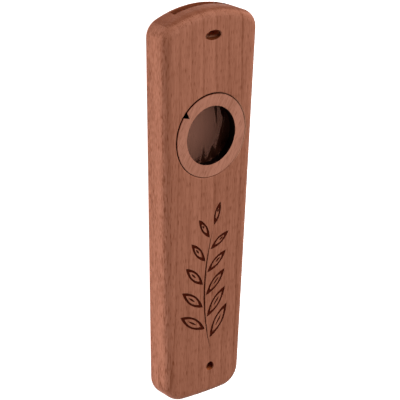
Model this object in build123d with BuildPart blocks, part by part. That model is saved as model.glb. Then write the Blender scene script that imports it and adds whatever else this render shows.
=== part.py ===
from build123d import *
from math import copysign
import os

# A flat wooden kazoo, lying on its back: two boards glued face to face around a breath channel,
# with a window in the front that a film on a thin hoop closes and a press-in ring holds.
# X runs across the body, Y along it towards the mouth end, Z from the back face to the front face.
# The origin is the middle of the back face. All sizes are millimetres.

# Body, seen from the front: straight sides that taper from the mouth end to the tail end
length = 125.0
mouth_width = 35.4  # between the sides at the mouth end's corners, before these are rounded
tail_width = 28.3  # the same at the tail end
mouth_crown = 4.7  # how far the mouth end's arc rises over its corners
tail_crown = 0.75
mouth_corner_radius = 5.8
tail_corner_radius = 6.8
front_board_thickness = 5.75
back_board_thickness = 5.75
edge_radius = 3.2  # rounding of the front and back edges, all round

# Breath channel: a flat slot from the mouth end to the window, cut into the back board alone
channel_width = 20.0
channel_depth = 2.5

# Vent: an oval opening from the front face into the channel
vent_from_mouth = 7.85
vent_length = 5.75
vent_width = 2.85
rim_radius = 0.25  # rounding of the rims of the vent and the lanyard hole

# Window, with the ring, the film and its hoop stacked in a round recess, flush with the front face
window_from_mouth = 38.65
recess_diameter = 26.2
recess_rim_radius = 0.45
ledge_width = 3.4  # the step round the window that the hoop lies on
ring_thickness = 2.6
ring_width = 3.8  # from the ring's rim to its bore
ring_gap = 0.15  # all round, between the ring and the recess
ring_edge_break = 0.1
film_thickness = 0.05
hoop_thickness = 0.35
hoop_width = 2.4
hoop_gap = 0.3  # all round, between the hoop or film and the recess

# Pry notch: a V cut in the ring's rim, so that a nail or blade can lift the ring
notch_angle = 141.0  # from the X axis towards the mouth end
notch_width = 2.05
notch_depth = 2.2

# Lanyard hole, through both boards
lanyard_hole_diameter = 2.8
lanyard_hole_from_tail = 9.9
lanyard_hole_offset = 1.7  # to the right of the middle line

# Burnt line engraving on the front: a leafy sprig that rises from above the lanyard hole
engraving_depth = 0.2
line_width = 0.6
stem_from_tail = 15.5
stem_height = 41.0
stem_bow = 3.0  # how far the stem bows to the left
leaf_count = 11
leaf_length = 12.5  # of the lowest leaf
tip_leaf_length = 7.5
leaf_slenderness = 3.4  # a leaf's length over its width
leaf_spread = 46.0  # angle between a leaf and the stem, in degrees
leaf_stalk = 0.9  # from the stem to the leaf's base
midrib_share = 0.68  # of the leaf's length

# Heights and places that follow from the sizes above
mouth_y = length / 2
tail_y = -length / 2
seam_z = back_board_thickness
front_z = back_board_thickness + front_board_thickness
ring_base_z = front_z - ring_thickness
film_base_z = ring_base_z - film_thickness
seat_z = film_base_z - hoop_thickness
window_centre = (0, mouth_y - window_from_mouth)
vent_centre = (0, mouth_y - vent_from_mouth)
lanyard_centre = (lanyard_hole_offset, tail_y + lanyard_hole_from_tail)
window_radius = recess_diameter / 2 - ledge_width
ring_radius = recess_diameter / 2 - ring_gap
hoop_radius = recess_diameter / 2 - hoop_gap

# Outline that both boards share
with BuildSketch() as body_outline:
    with BuildLine():
        mouth_corner_y = mouth_y - mouth_crown
        tail_corner_y = tail_y + tail_crown
        mouth_arc = ThreePointArc(
            (-mouth_width / 2, mouth_corner_y), (0, mouth_y), (mouth_width / 2, mouth_corner_y)
        )
        tail_arc = ThreePointArc(
            (tail_width / 2, tail_corner_y), (0, tail_y), (-tail_width / 2, tail_corner_y)
        )
        Line(mouth_arc @ 1, tail_arc @ 0)
        Line(tail_arc @ 1, mouth_arc @ 0)
    make_face()
    fillet(body_outline.vertices().group_by(Axis.Y)[-1], mouth_corner_radius)
    fillet(body_outline.vertices().group_by(Axis.Y)[0], tail_corner_radius)

# Breath channel in plan: open at the mouth end, with a full round end under the window
with BuildSketch() as channel_outline:
    channel_reach = 2 * window_from_mouth  # runs out past the mouth end
    with Locations(window_centre):
        Circle(channel_width / 2)
        Rectangle(channel_width, channel_reach, align=(Align.CENTER, Align.MIN))

# Front board: the vent, the window with its recess, and the lanyard hole
with BuildPart() as front_board:
    with BuildSketch(Plane.XY.offset(seam_z)):
        add(body_outline.sketch)
    extrude(amount=front_board_thickness)
    fillet(front_board.faces().sort_by(Axis.Z)[-1].edges(), edge_radius)
    with BuildSketch(Plane.XY.offset(front_z)):
        with Locations(vent_centre):
            Ellipse(vent_length / 2, vent_width / 2)
        with Locations(lanyard_centre):
            Circle(lanyard_hole_diameter / 2)
    extrude(amount=-front_board_thickness, mode=Mode.SUBTRACT)
    fillet(front_board.faces().sort_by(Axis.Z)[-1].inner_wires().edges(), rim_radius)
    with BuildSketch(Plane.XY.offset(front_z)):
        with Locations(window_centre):
            Circle(recess_diameter / 2)
    extrude(amount=seat_z - front_z, mode=Mode.SUBTRACT)
    fillet(front_board.edges(Select.LAST).group_by(Axis.Z)[-1], recess_rim_radius)
    with BuildSketch(Plane.XY.offset(seat_z)):
        with Locations(window_centre):
            Circle(window_radius)
    extrude(amount=seam_z - seat_z, mode=Mode.SUBTRACT)


def sliver(start, end, left, right):
    """The area between two arcs from start to end, which bulge to the left and right of their chord."""
    middle = (start + end) / 2
    across = (end - start).normalized().rotate(Axis.Z, 90)
    with BuildSketch() as area:
        with BuildLine():
            ThreePointArc(start, middle + across * left, end)
            ThreePointArc(end, middle - across * right, start)
        make_face()
    return area.sketch


# Sprig: a bowed stem with leaves on alternate sides, smaller towards the tip, and one leaf at the tip.
# Each leaf is an outline and a midrib, and no two lines touch.
with BuildSketch(Plane.XY.offset(front_z)) as sprig:
    stem_base = Vector(lanyard_hole_offset, tail_y + stem_from_tail)
    stem_tip = stem_base + Vector(0, stem_height)
    stem_middle = (stem_base + stem_tip) / 2 - Vector(stem_bow, 0)
    stem = ThreePointArc(stem_base, stem_middle, stem_tip, mode=Mode.PRIVATE)
    add(sliver(stem_base, stem_tip, stem_bow + line_width / 2, line_width / 2 - stem_bow))
    for i in range(leaf_count):
        share = (i + 1) / leaf_count
        side = 0 if i == leaf_count - 1 else copysign(1, i % 2 - 0.5)
        blade = leaf_length + (tip_leaf_length - leaf_length) * share
        belly = blade / leaf_slenderness / 2
        growth = (stem % share).rotate(Axis.Z, side * leaf_spread)
        base = stem @ share + growth * leaf_stalk
        tip = base + growth * blade
        point = growth * (line_width * leaf_slenderness)  # the outline is thicker where its arcs meet
        add(sliver(base, tip, belly, belly))
        add(sliver(base + point, tip - point, belly - line_width, belly - line_width), mode=Mode.SUBTRACT)
        add(sliver(base + 2 * point, base + growth * blade * midrib_share, line_width / 2, line_width / 2))

with front_board:
    extrude(sprig.sketch, amount=-engraving_depth, mode=Mode.SUBTRACT)

# Back board: the channel, and the other half of the lanyard hole
with BuildPart() as back_board:
    with BuildSketch():
        add(body_outline.sketch)
    extrude(amount=back_board_thickness)
    fillet(back_board.faces().sort_by(Axis.Z)[0].edges(), edge_radius)
    with BuildSketch():
        with Locations(lanyard_centre):
            Circle(lanyard_hole_diameter / 2)
    extrude(amount=back_board_thickness, mode=Mode.SUBTRACT)
    fillet(back_board.faces().sort_by(Axis.Z)[0].inner_wires().edges(), rim_radius)
    with BuildSketch(Plane.XY.offset(seam_z)):
        add(channel_outline.sketch)
    extrude(amount=-channel_depth, mode=Mode.SUBTRACT)

# Hoop: the thin stiff rim of the film, lying on the recess's ledge
with BuildPart() as membrane_hoop:
    with BuildSketch(Plane.XY.offset(seat_z)):
        with Locations(window_centre):
            Circle(hoop_radius)
            Circle(hoop_radius - hoop_width, mode=Mode.SUBTRACT)
    extrude(amount=hoop_thickness)

# Film: a thin clear disc, bonded to the top of the hoop
with BuildPart() as membrane_film:
    with BuildSketch(Plane.XY.offset(film_base_z)):
        with Locations(window_centre):
            Circle(hoop_radius)
    extrude(amount=film_thickness)

# Ring: pressed in over the film, with the pry notch in its rim
notch_plane = Plane((*window_centre, ring_base_z), x_dir=Vector(1, 0, 0).rotate(Axis.Z, notch_angle))
with BuildPart() as retaining_ring:
    with BuildSketch(Plane.XY.offset(ring_base_z)):
        with Locations(window_centre):
            Circle(ring_radius)
            Circle(ring_radius - ring_width, mode=Mode.SUBTRACT)
    extrude(amount=ring_thickness)
    fillet(retaining_ring.faces().sort_by(Axis.Z)[-1].edges(), ring_edge_break)
    with BuildSketch(notch_plane):
        with BuildLine():
            notch_spread = notch_width / 2 / notch_depth  # half width for each unit of depth
            Polyline(
                (ring_radius - notch_depth, 0),
                (ring_radius + notch_depth, 2 * notch_depth * notch_spread),
                (ring_radius + notch_depth, -2 * notch_depth * notch_spread),
                close=True,
            )
        make_face()
    extrude(amount=ring_thickness, mode=Mode.SUBTRACT)

os.makedirs("parts", exist_ok=True)
front_board.part.label = "front_board"
export_step(front_board.part, "parts/front_board.step")
back_board.part.label = "back_board"
export_step(back_board.part, "parts/back_board.step")
membrane_hoop.part.label = "membrane_hoop"
export_step(membrane_hoop.part, "parts/membrane_hoop.step")
membrane_film.part.label = "membrane_film"
export_step(membrane_film.part, "parts/membrane_film.step")
retaining_ring.part.label = "retaining_ring"
export_step(retaining_ring.part, "parts/retaining_ring.step")
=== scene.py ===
import bpy
import numpy as np
from mathutils import Matrix, Vector


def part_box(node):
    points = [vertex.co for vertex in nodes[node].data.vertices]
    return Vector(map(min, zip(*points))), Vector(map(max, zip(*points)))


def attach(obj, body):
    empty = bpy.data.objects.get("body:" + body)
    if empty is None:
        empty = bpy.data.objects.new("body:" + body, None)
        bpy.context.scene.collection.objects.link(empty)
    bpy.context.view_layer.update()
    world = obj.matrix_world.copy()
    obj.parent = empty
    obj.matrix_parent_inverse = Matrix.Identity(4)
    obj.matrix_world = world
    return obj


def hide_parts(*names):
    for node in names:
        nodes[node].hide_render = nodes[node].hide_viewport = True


# A flat wooden kazoo on its back: +Y runs to the mouth end, +Z out of the front face.
# Meshes are in metres, and places in the materials in millimetres.
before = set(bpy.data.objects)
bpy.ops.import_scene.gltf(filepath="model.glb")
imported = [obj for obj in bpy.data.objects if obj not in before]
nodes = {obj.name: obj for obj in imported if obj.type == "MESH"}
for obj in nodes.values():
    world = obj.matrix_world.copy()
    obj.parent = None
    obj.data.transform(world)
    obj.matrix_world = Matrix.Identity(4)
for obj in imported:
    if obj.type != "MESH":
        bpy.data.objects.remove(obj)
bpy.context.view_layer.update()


# Back board: the back half of the body, sawn from a plank of straight-grained reddish brown hardwood.
# The breath channel is milled into it, its edge is rounded and sanded, and it takes a thin coat of oil.
# It is glued to the front board over the whole middle plane.
MM = 0.001
mouth_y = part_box("back_board")[1][1] / MM
seam_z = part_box("back_board")[1][2] / MM
channel_width = 20.0
channel_depth = 2.5
pale_wood = (0.375, 0.144, 0.086)
dark_wood = (0.17, 0.048, 0.021)
channel_painted_shade = (0.16, 0.04, 0.016)


def add_node(tree, kind, *feeds, **settings):
    """A new node with these settings.

    feeds fill its inputs in order: a socket is linked, and None is skipped.
    """
    made = tree.nodes.new("ShaderNode" + kind)
    for name, value in settings.items():
        setattr(made, name, value)
    for socket, feed in zip(made.inputs, feeds):
        if isinstance(feed, bpy.types.NodeSocket):
            tree.links.new(feed, socket)
        elif feed is not None:
            socket.default_value = feed
    return made


def calculate(tree, operation, *feeds):
    """One step of arithmetic on numbers."""
    return add_node(tree, "Math", *feeds, operation=operation).outputs[0]


def calculate_vector(tree, operation, *feeds):
    """One step of arithmetic on vectors, as a vector."""
    return add_node(tree, "VectorMath", *feeds, operation=operation).outputs["Vector"]


def measure_vector(tree, operation, *feeds):
    """One step of arithmetic on vectors, as a number."""
    return add_node(tree, "VectorMath", *feeds, operation=operation).outputs["Value"]


def rise(tree, value, start, end):
    """0 up to start and 1 from end on, with a smooth step between.

    With end below start it falls instead.
    """
    return add_node(tree, "MapRange", value, start, end, 0, 1, interpolation_type="SMOOTHSTEP").outputs[0]


def both(tree, *masks):
    """1 where all of these masks are 1."""
    shared = masks[0]
    for mask in masks[1:]:
        shared = calculate(tree, "MULTIPLY", shared, mask)
    return shared


def mix_colours(tree, share, first, second):
    """The first colour where share is 0, the second where it is 1."""
    number_inputs = (None,) * 5  # the mixer's sockets for numbers and vectors, left as they are
    return add_node(tree, "Mix", share, *number_inputs, first, second, data_type="RGBA").outputs[2]


def place_in_mm(tree, turn=0.0):
    """Each point's place on its piece in millimetres, turned about Z."""
    place = add_node(tree, "TexCoord").outputs["Object"]
    return add_node(tree, "Mapping", place, None, (0, 0, turn), (1 / MM,) * 3).outputs[0]


def stretched_noise(tree, place, density, detail=0.0):
    """Soft noise from 0 to 1 that changes density times in a millimetre along X, Y and Z."""
    spread = calculate_vector(tree, "MULTIPLY", place, density)
    return add_node(tree, "TexNoise", spread, None, 1.0, detail, 0.6)


def start_group(name, inputs, outputs):
    """An empty shader group with these sockets, given as name and kind.

    Returns its tree, the sockets that it is given and those that it puts out.
    """
    tree = bpy.data.node_groups.new(name, "ShaderNodeTree")
    for label, kind in inputs:
        tree.interface.new_socket(label, in_out="INPUT", socket_type="NodeSocket" + kind)
    for label, kind in outputs:
        tree.interface.new_socket(label, in_out="OUTPUT", socket_type="NodeSocket" + kind)
    return tree, tree.nodes.new("NodeGroupInput").outputs, tree.nodes.new("NodeGroupOutput").inputs


def build_wood_figure():
    """The figure of the wood as it runs through the board, with the grain along Y.

    Year rings are shells round the trunk's heart, a line that lies beside the board: each darkens slowly
    and ends in a thin dark line, and a slow noise makes them sway and fade. Broad bands, fine fibres and
    short dark pores are noises drawn out along the grain. The flat sides show the ends of the rays as short
    dashes. Where the surface faces along the grain, the cut fibres drink more oil and are darker, and this
    darkening is also painted shade on the end faces and corners. Where the surface is rounded off at the
    long edges and the corners, it is darker with painted shade. All of these add up to how dark the wood
    is.
    """
    tree, given, result = start_group(
        "wood figure",
        [("Place", "Vector"), ("Heart", "Vector"), ("Pale wood", "Color"), ("Dark wood", "Color")],
        [("Colour", "Color"), ("Height", "Float"), ("Roughness", "Float")],
    )
    place = given["Place"]
    year_width = 4.4
    sway_range = (4.0, 0.0, 4.0)
    sway_start = (-2.0, 0.0, -2.0)
    sway = stretched_noise(tree, place, (0.05, 0.014, 0.05), 1).outputs["Color"]
    sway = calculate_vector(tree, "MULTIPLY_ADD", sway, sway_range, sway_start)
    swayed = calculate_vector(tree, "ADD", place, sway)
    from_heart = calculate_vector(tree, "SUBTRACT", swayed, given["Heart"])
    across = calculate_vector(tree, "MULTIPLY", from_heart, (1, 0, 1))
    radius = measure_vector(tree, "LENGTH", across)
    season = calculate(tree, "FRACT", calculate(tree, "DIVIDE", radius, year_width))
    year_end = rise(tree, season, 1.0, 0.95)
    late_wood = both(tree, rise(tree, season, 0.2, 0.95), year_end)
    fade = stretched_noise(tree, place, (0.3, 0.02, 0.3)).outputs[0]
    line = both(tree, rise(tree, season, 0.8, 0.94), year_end, rise(tree, fade, 0.3, 0.65))

    band = stretched_noise(tree, place, (0.22, 0.008, 0.22), 1).outputs[0]
    fibre = stretched_noise(tree, place, (2.2, 0.1, 2.2), 3).outputs[0]
    pore = rise(tree, stretched_noise(tree, place, (4.6, 0.45, 4.6)).outputs[0], 0.58, 0.72)

    normal = add_node(tree, "NewGeometry").outputs["True Normal"]
    facing = add_node(tree, "SeparateXYZ", calculate_vector(tree, "ABSOLUTE", normal)).outputs
    sideways, endways = facing[0], facing[1]
    # Darker where the surface faces along the grain: end grain that drinks more oil, and painted shade on
    # the end faces and corners.
    end_grain_and_shade = rise(tree, endways, 0.66, 0.88)
    # Painted shade on the roundings between the sides and the face, at the long edges and corners.
    painted_edge_shade = both(tree, rise(tree, sideways, 0.985, 0.955), rise(tree, sideways, 0.25, 0.75))
    ray = calculate(tree, "SUBTRACT", stretched_noise(tree, place, (0.3, 0.6, 2.6), 1).outputs[0], 0.5)
    ray = both(tree, ray, rise(tree, sideways, 0.72, 0.98))

    weights = (
        (late_wood, 0.12),
        (end_grain_and_shade, 0.7),
        (painted_edge_shade, 0.17),
        (ray, 1.8),
        (line, 0.26),
        (band, 0.46),
        (fibre, 1.1),
        (pore, 0.42),
    )
    dark = -0.61  # takes off most of what the bands and the fibres add on average
    for mask, weight in weights:
        dark = calculate(tree, "MULTIPLY_ADD", mask, weight, dark)
    dark = add_node(tree, "Clamp", dark).outputs[0]
    tree.links.new(mix_colours(tree, dark, given["Pale wood"], given["Dark wood"]), result["Colour"])
    height = calculate(tree, "MULTIPLY_ADD", pore, -0.8, calculate(tree, "MULTIPLY", fibre, 0.5))
    tree.links.new(height, result["Height"])
    tree.links.new(calculate(tree, "MULTIPLY_ADD", dark, 0.12, 0.58), result["Roughness"])
    return tree


wood_figure = build_wood_figure()


def start_wood(name, heart, pale, dark, turn=0.0):
    """A wood material up to its shader: the figure at each place of the piece, and its bump and shine."""
    bump_strength = 0.25
    bump_depth = 0.05 * MM
    material = bpy.data.materials.new(name)
    material.use_nodes = True
    tree = material.node_tree
    shader = tree.nodes["Principled BSDF"]
    place = place_in_mm(tree, turn)
    figure = add_node(tree, "Group", node_tree=wood_figure)
    tree.links.new(place, figure.inputs["Place"])
    figure.inputs["Heart"].default_value = heart
    figure.inputs["Pale wood"].default_value = (*pale, 1)
    figure.inputs["Dark wood"].default_value = (*dark, 1)
    bump = add_node(tree, "Bump", bump_strength, bump_depth)
    tree.links.new(figure.outputs["Height"], bump.inputs["Height"])
    tree.links.new(bump.outputs["Normal"], shader.inputs["Normal"])
    tree.links.new(figure.outputs["Colour"], shader.inputs["Base Color"])
    tree.links.new(figure.outputs["Roughness"], shader.inputs["Roughness"])
    shader.inputs["Specular IOR Level"].default_value = 0.08
    return material, shader, place


def build_stain_and_painted_light():
    """Stain or char on wood, and also painted light and shade, over what is there: where the mask is 1, the
    colour in soft patches.
    """
    stain_roughness = 0.95
    tree, given, result = start_group(
        "stain_and_painted_light",
        [
            ("Place", "Vector"),
            ("Wood", "Color"),
            ("Wood roughness", "Float"),
            ("Stain", "Color"),
            ("Mask", "Float"),
        ],
        [("Colour", "Color"), ("Roughness", "Float")],
    )
    patch = stretched_noise(tree, given["Place"], (1.3, 1.3, 1.3), 1).outputs[0]
    strength = calculate(tree, "MULTIPLY_ADD", patch, 0.8, 0.6)
    patchy = calculate_vector(tree, "SCALE", given["Stain"], None, None, strength)
    tree.links.new(mix_colours(tree, given["Mask"], given["Wood"], patchy), result["Colour"])
    duller = calculate(tree, "SUBTRACT", stain_roughness, given["Wood roughness"])
    dulled = calculate(tree, "MULTIPLY_ADD", given["Mask"], duller, given["Wood roughness"])
    tree.links.new(dulled, result["Roughness"])
    return tree


stain_and_painted_light = build_stain_and_painted_light()


def add_stain_and_painted_light(shader, place, mask, colour):
    """Lays a stain, char, painted light or painted shade over what a wood material shows so far, in this
    colour, where mask is 1.
    """
    tree = shader.id_data
    overlay = add_node(tree, "Group", node_tree=stain_and_painted_light)
    tree.links.new(place, overlay.inputs["Place"])
    tree.links.new(shader.inputs["Base Color"].links[0].from_socket, overlay.inputs["Wood"])
    tree.links.new(shader.inputs["Roughness"].links[0].from_socket, overlay.inputs["Wood roughness"])
    overlay.inputs["Stain"].default_value = (*colour, 1)
    tree.links.new(mask, overlay.inputs["Mask"])
    tree.links.new(overlay.outputs["Colour"], shader.inputs["Base Color"])
    tree.links.new(overlay.outputs["Roughness"], shader.inputs["Roughness"])


back_wood, shader, place = start_wood("back board wood", (-30, 0, 62), pale_wood, dark_wood)
tree = back_wood.node_tree
x, y, z = add_node(tree, "SeparateXYZ", place).outputs

# Painted shade: the channel is darkened near the mouth end, the shade inside the mouth slot.
channel_floor = seam_z - channel_depth
channel_side = channel_width / 2
channel = both(
    tree,
    rise(tree, z, channel_floor - 0.04, channel_floor - 0.02),
    rise(tree, y, mouth_y - 6.5, mouth_y - 3.5),
    rise(tree, calculate(tree, "ABSOLUTE", x), channel_side + 0.2, channel_side + 0.1),
)
add_stain_and_painted_light(shader, place, channel, channel_painted_shade)
nodes["back_board"].material_slots[0].material = back_wood


# Front board: the front half of the body, from the same plank. The vent and the window with its stepped
# recess are milled through it, and its flat inner face closes the channel. A burner has drawn a sprig into
# its outer face, and the fine grooves are charred.
front_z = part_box("front_board")[1][2] / MM
vent_centre = (0, mouth_y - 7.85)
vent_size = (5.75, 2.85)
window_centre = (0, mouth_y - 38.65)
recess_size = 26.2
lanyard_centre = (1.7, mouth_y - 115.1)
lanyard_size = 2.8
sprig_tip = mouth_y - 56.4
sprig_foot = mouth_y - 111.1
sprig_side = 11.2
groove_depth = 0.2
groove_char = (0.056, 0.006, 0.0008)
hole_painted_shade = (0.16, 0.030, 0.012)
hole_painted_light = (0.42, 0.105, 0.030)
vent_painted_shade = (0.17, 0.037, 0.009)
vent_painted_light = (0.92, 0.45, 0.26)
recess_painted_light = (0.55, 0.25, 0.16)


def near_hole(tree, place, centre, length, width):
    """1 in an oval hole through the face and in a narrow margin round it, given by its middle and size."""
    margin = 0.2
    off_centre = calculate_vector(tree, "SUBTRACT", place, (*centre, 0))
    to_rim = (1 / (length / 2 + margin), 1 / (width / 2 + margin), 0)
    share = measure_vector(tree, "LENGTH", calculate_vector(tree, "MULTIPLY", off_centre, to_rim))
    return rise(tree, share, 1.02, 1.0)


front_wood, shader, place = start_wood("front board wood", (70, 0, -18), pale_wood, dark_wood)
tree = front_wood.node_tree
x, y, z = add_node(tree, "SeparateXYZ", place).outputs
depth = calculate(tree, "SUBTRACT", front_z, z)
groove = both(
    tree,
    rise(tree, depth, 0.02, 0.06),
    rise(tree, depth, groove_depth + 0.06, groove_depth + 0.02),
    rise(tree, y, sprig_foot, sprig_foot + 0.1),
    rise(tree, y, sprig_tip, sprig_tip - 0.1),
    rise(tree, calculate(tree, "ABSOLUTE", x), sprig_side, sprig_side - 0.1),
)
add_stain_and_painted_light(shader, place, groove, groove_char)

# Painted shade darkens the lanyard hole's walls, and painted light makes its lower wall a lit reddish
# brown.
lanyard_hole = near_hole(tree, place, lanyard_centre, lanyard_size, lanyard_size)
add_stain_and_painted_light(shader, place, both(tree, lanyard_hole, rise(tree, depth, 0.1, 0.4)), hole_painted_shade)
lower_wall = rise(tree, y, lanyard_centre[1] - 0.3, lanyard_centre[1] - 1.1)
lower_wall = both(tree, lanyard_hole, rise(tree, depth, 0.1, 0.3), lower_wall)
add_stain_and_painted_light(shader, place, lower_wall, hole_painted_light)

# Painted shade darkens the vent's lower wall, where the mouth lamp lights it, and painted light brightens
# its right end and its inner part, which lie in shade.
vent = near_hole(tree, place, vent_centre, *vent_size)
vent_shade_mask = rise(tree, y, vent_centre[1] + 0.25, vent_centre[1] - 0.25)
vent_shade_mask = both(tree, vent, rise(tree, depth, 0.15, 0.3), vent_shade_mask)
add_stain_and_painted_light(shader, place, vent_shade_mask, vent_painted_shade)
vent_light_mask = rise(tree, calculate(tree, "ADD", x, depth), 3.4, 4.2)
add_stain_and_painted_light(shader, place, both(tree, vent, vent_light_mask), vent_painted_light)

# Painted light: the recess's rim is paler on the right, where the gap round the ring would show as a line
# of shade.
recess = near_hole(tree, place, window_centre, recess_size, recess_size)
gap_light_mask = both(tree, recess, rise(tree, x, 7.0, 12.5), rise(tree, depth, 0.01, 0.05))
add_stain_and_painted_light(shader, place, gap_light_mask, recess_painted_light)
nodes["front_board"].material_slots[0].material = front_wood


# Hoop: the thin stiff rim of a replaceable film, punched from white card.
# It lies loose on the ledge round the window, and the film is bonded to its top.
dark_card = (0.66, 0.61, 0.52, 1)
pale_card = (0.86, 0.83, 0.76, 1)
hoop_card = bpy.data.materials.new("hoop card")
hoop_card.use_nodes = True
tree = hoop_card.node_tree
shader = tree.nodes["Principled BSDF"]
pulp = stretched_noise(tree, place_in_mm(tree), (4, 4, 4), 3).outputs[0]
tree.links.new(mix_colours(tree, pulp, dark_card, pale_card), shader.inputs["Base Color"])
shader.inputs["Roughness"].default_value = 0.8
nodes["membrane_hoop"].material_slots[0].material = hoop_card


# Film: a disc of thin, smoky plastic, stretched over the hoop and bonded to it. Its near-black, mostly
# opaque colour is partly painted shade of the channel beneath, and the warm tint of its reflections is a
# painted reflection.
# Creases run in from the clamping ring's bore, where the film was drawn tight by hand.
film_low, film_high = (np.array(corner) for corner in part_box("membrane_film"))
film_centre = (film_low + film_high) / 2
film_radius = (film_high[0] - film_low[0]) / 2


def creased_disc(rings, spokes):
    """A film drawn over a hoop, as a polar grid and the heights of its points.

    The film bulges a little, as a shallow dome. Each crease is a pleat with straight sides, like a tent:
    it starts on the bore of the clamping ring, narrows to nothing along its own line, and is as much lower
    as it is narrower. Behind its start it soon dies out. A few long ones are placed one by one, and short
    ones all round by chance. Where they cross, the highest or deepest one counts. The ring presses the film
    flat: a pleat that stands up ends at the bore, and one that hangs down just outside it.
    Lengths are shares of the film's radius, and only the heights that come out are in metres.
    """
    bore = 0.715
    bulge = 0.026
    standing_fade = 0.12
    hanging_end = 0.045
    hanging_fade = 0.03
    heel = 0.25
    share = np.linspace(0, 1, rings + 1)[1:, None]
    angle = np.linspace(0, 2 * np.pi, spokes, endpoint=False)[None, :]
    across, along = share * np.cos(angle), share * np.sin(angle)
    dome = bulge * np.clip(1 - (share / bore) ** 2, 0, None)
    placed = np.array(
        [
            # start and heading in degrees, reach, half width, slope
            (69.5, -83.0, 0.62, 0.045, 0.50),
            (40.0, -80.0, 0.60, 0.120, -0.40),
            (-40.0, 88.0, 1.05, 0.260, -0.50),
            (-72.0, 96.0, 0.37, 0.200, -0.32),
            (-95.6, 90.0, 0.46, 0.080, -0.32),
            (-112.0, 62.0, 0.22, 0.060, 0.32),
            (-107.0, 25.0, 0.39, 0.030, -0.49),
        ]
    )
    rng = np.random.default_rng(8)
    short = 26
    chance_start = rng.uniform(0, 360, short)
    by_chance = np.stack(
        [
            chance_start,
            chance_start + 180 + rng.normal(0, 30, short),
            rng.uniform(0.05, 0.16, short),
            rng.uniform(0.015, 0.04, short),
            rng.uniform(-0.25, 0.25, short),
        ],
        axis=1,
    )
    start, heading, reach, width, slope = np.vstack([placed, by_chance]).T[:, :, None, None]
    start, heading = np.radians(start), np.radians(heading)
    off_x, off_y = across - bore * np.cos(start), along - bore * np.sin(start)
    forth = (off_x * np.cos(heading) + off_y * np.sin(heading)) / reach
    aside = np.abs(off_y * np.cos(heading) - off_x * np.sin(heading))
    inside = np.clip(width * np.clip(1 - forth, 0, 1) - aside, 0, None)
    tent = slope * inside * np.clip(1 + forth / heel, 0, 1)
    highest = np.abs(tent).argmax(axis=0)[None]
    pleats = np.take_along_axis(tent, highest, axis=0)[0]
    standing = np.clip((bore - share) / standing_fade, 0, 1)
    hanging = np.clip((bore + hanging_end - share) / hanging_fade, 0, 1)
    pleats *= np.where(pleats > 0, standing, hanging)
    return across, along, film_radius * (pleats + dome)


def polar_mesh(name, centre, radius, across, along, height):
    """A closed disc from a polar grid: rings of quads, and a fan of triangles round the middle point."""
    rings, spokes = across.shape
    points = np.stack([across * radius, along * radius, height], axis=-1).reshape(-1, 3) + centre
    points = np.vstack([points, centre + (0, 0, height[0].mean())])
    here = np.arange(rings * spokes).reshape(rings, spokes)
    after = np.roll(here, -1, axis=1)
    quads = np.stack([here[:-1], here[1:], after[1:], after[:-1]], axis=-1).reshape(-1, 4)
    fan = np.stack([np.full(spokes, rings * spokes), here[0], after[0]], axis=-1)
    mesh = bpy.data.meshes.new(name)
    mesh.from_pydata(points.tolist(), [], quads.tolist() + fan.tolist())
    made = bpy.data.objects.new(name, mesh)
    bpy.context.scene.collection.objects.link(made)
    return made


film = polar_mesh("film", film_centre, film_radius, *creased_disc(rings=110, spokes=480))
film_sheet = bpy.data.materials.new("clear film")
film_sheet.use_nodes = True
shader = film_sheet.node_tree.nodes["Principled BSDF"]
# Nearly black and mostly opaque: partly a smoky film, partly painted shade over the channel beneath.
shader.inputs["Base Color"].default_value = (0.014, 0.004, 0.002, 1)
shader.inputs["Roughness"].default_value = 0.3
shader.inputs["IOR"].default_value = 1.7
# A warm tint on the reflections: a painted warm reflection.
shader.inputs["Specular Tint"].default_value = (1.0, 0.40, 0.255, 1)
shader.inputs["Alpha"].default_value = 0.8
film.data.materials.append(film_sheet)
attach(film, "membrane")
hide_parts("membrane_film")


# Ring: cut by laser from a thinner, paler board, so its rim, bore and pry notch are charred. On the notch
# side, the upper left, the rim's upper edge is darkened with painted shade, the shade of the gap round the
# ring.
# It is pressed into the recess over the film and lies flush with the face.
ring_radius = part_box("retaining_ring")[1][0] / MM
ring_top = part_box("retaining_ring")[1][2] / MM
notch_angle = np.radians(141)
pale_ring = (0.44, 0.188, 0.124)
dark_ring = (0.22, 0.08, 0.045)
rim_painted_shade = (0.085, 0.010, 0.0010)
wall_char = (0.004, 0.001, 0.0006)
ring_wood, shader, place = start_wood("ring wood", (-30, 0, -60), pale_ring, dark_ring, turn=0.5)
tree = ring_wood.node_tree
off_centre = calculate_vector(tree, "SUBTRACT", place_in_mm(tree), (*window_centre, 0))
off_centre = calculate_vector(tree, "MULTIPLY", off_centre, (1, 1, 0))
to_notch = (np.cos(notch_angle), np.sin(notch_angle), 0)
notch_side = rise(tree, measure_vector(tree, "DOT_PRODUCT", off_centre, to_notch), 2.0, 9.0)
rim = rise(tree, measure_vector(tree, "LENGTH", off_centre), ring_radius - 0.3, ring_radius - 0.1)
# Painted shade along the rim's upper edge on the notch side.
add_stain_and_painted_light(shader, place, both(tree, rim, notch_side), rim_painted_shade)
z = add_node(tree, "SeparateXYZ", place).outputs[2]
add_stain_and_painted_light(shader, place, rise(tree, z, ring_top - 0.04, ring_top - 0.09), wall_char)
shader.inputs["Specular IOR Level"].default_value = 0.03
nodes["retaining_ring"].material_slots[0].material = ring_wood


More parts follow.
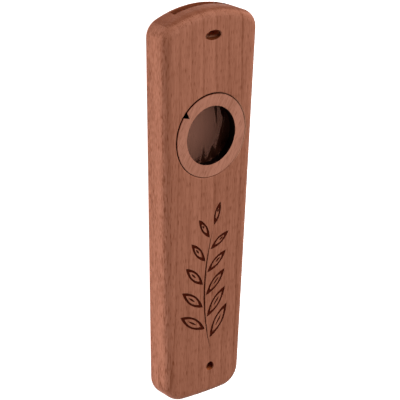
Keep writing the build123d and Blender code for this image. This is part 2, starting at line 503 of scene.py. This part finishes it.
# Studio: a white table that glows a little, so that the kazoo throws no shadow on it, under three soft
# lamps. The film mirrors the right one, the mouth one lights the face and the left one the side.
bpy.context.scene.view_settings.view_transform = "Standard"
table_reach = 3.0
table_drop = 0.00005
table_mesh = bpy.data.meshes.new("table")
corners = np.array([(-1, -1, 0), (1, -1, 0), (1, 1, 0), (-1, 1, 0)]) * table_reach - (0, 0, table_drop)
table_mesh.from_pydata(corners.tolist(), [], [(0, 1, 2, 3)])
table = bpy.data.objects.new("table", table_mesh)
bpy.context.scene.collection.objects.link(table)
table_top = bpy.data.materials.new("table top")
table_top.use_nodes = True
shader = table_top.node_tree.nodes["Principled BSDF"]
shader.inputs["Base Color"].default_value = (0.85, 0.85, 0.85, 1)
shader.inputs["Roughness"].default_value = 1.0
shader.inputs["Specular IOR Level"].default_value = 0.0
shader.inputs["Emission Color"].default_value = (1, 1, 1, 1)
shader.inputs["Emission Strength"].default_value = 1.1
table_mesh.materials.append(table_top)

world = bpy.data.worlds.new("studio air")
bpy.context.scene.world = world
world.use_nodes = True
world.node_tree.nodes["Background"].inputs["Color"].default_value = (1, 1, 1, 1)
world.node_tree.nodes["Background"].inputs["Strength"].default_value = 0.02

lamp_distance = 0.9


def add_lamp(name, direction, size, power):
    """A round soft lamp that shines on the kazoo from this direction."""
    data = bpy.data.lights.new(name, "AREA")
    data.shape = "DISK"
    data.size = size
    data.energy = power
    lamp = bpy.data.objects.new(name, data)
    towards = Vector(direction).normalized()
    lamp.location = towards * lamp_distance
    lamp.rotation_euler = towards.to_track_quat("Z", "Y").to_euler()
    bpy.context.scene.collection.objects.link(lamp)


add_lamp("right lamp", direction=(0.462, -0.256, 0.849), size=0.34, power=1.2)
add_lamp("mouth lamp", direction=(0.42, 0.53, 0.74), size=0.7, power=9.0)
add_lamp("left lamp", direction=(-0.82, -0.58, 0.15), size=0.4, power=4.6)


# Camera: a long lens, above the front's upper left, turned a little so that the body stands nearly upright.
stand = Vector((-0.31146, 0.19224, 0.39256))
aim = Vector((0.000822, 0.00140, 0.00575))
roll = np.radians(1.253)
camera_data = bpy.data.cameras.new("camera")
camera_data.lens = 157.74
camera_data.sensor_width = 36.0
camera = bpy.data.objects.new("camera", camera_data)
bpy.context.scene.collection.objects.link(camera)
forward = (aim - stand).normalized()
right = forward.cross(Vector((0, 1, 0))).normalized()
up = right.cross(forward)
right, up = right * np.cos(roll) + up * np.sin(roll), up * np.cos(roll) - right * np.sin(roll)
camera.matrix_world = Matrix.Translation(stand) @ Matrix((right, up, -forward)).transposed().to_4x4()
bpy.context.scene.camera = camera
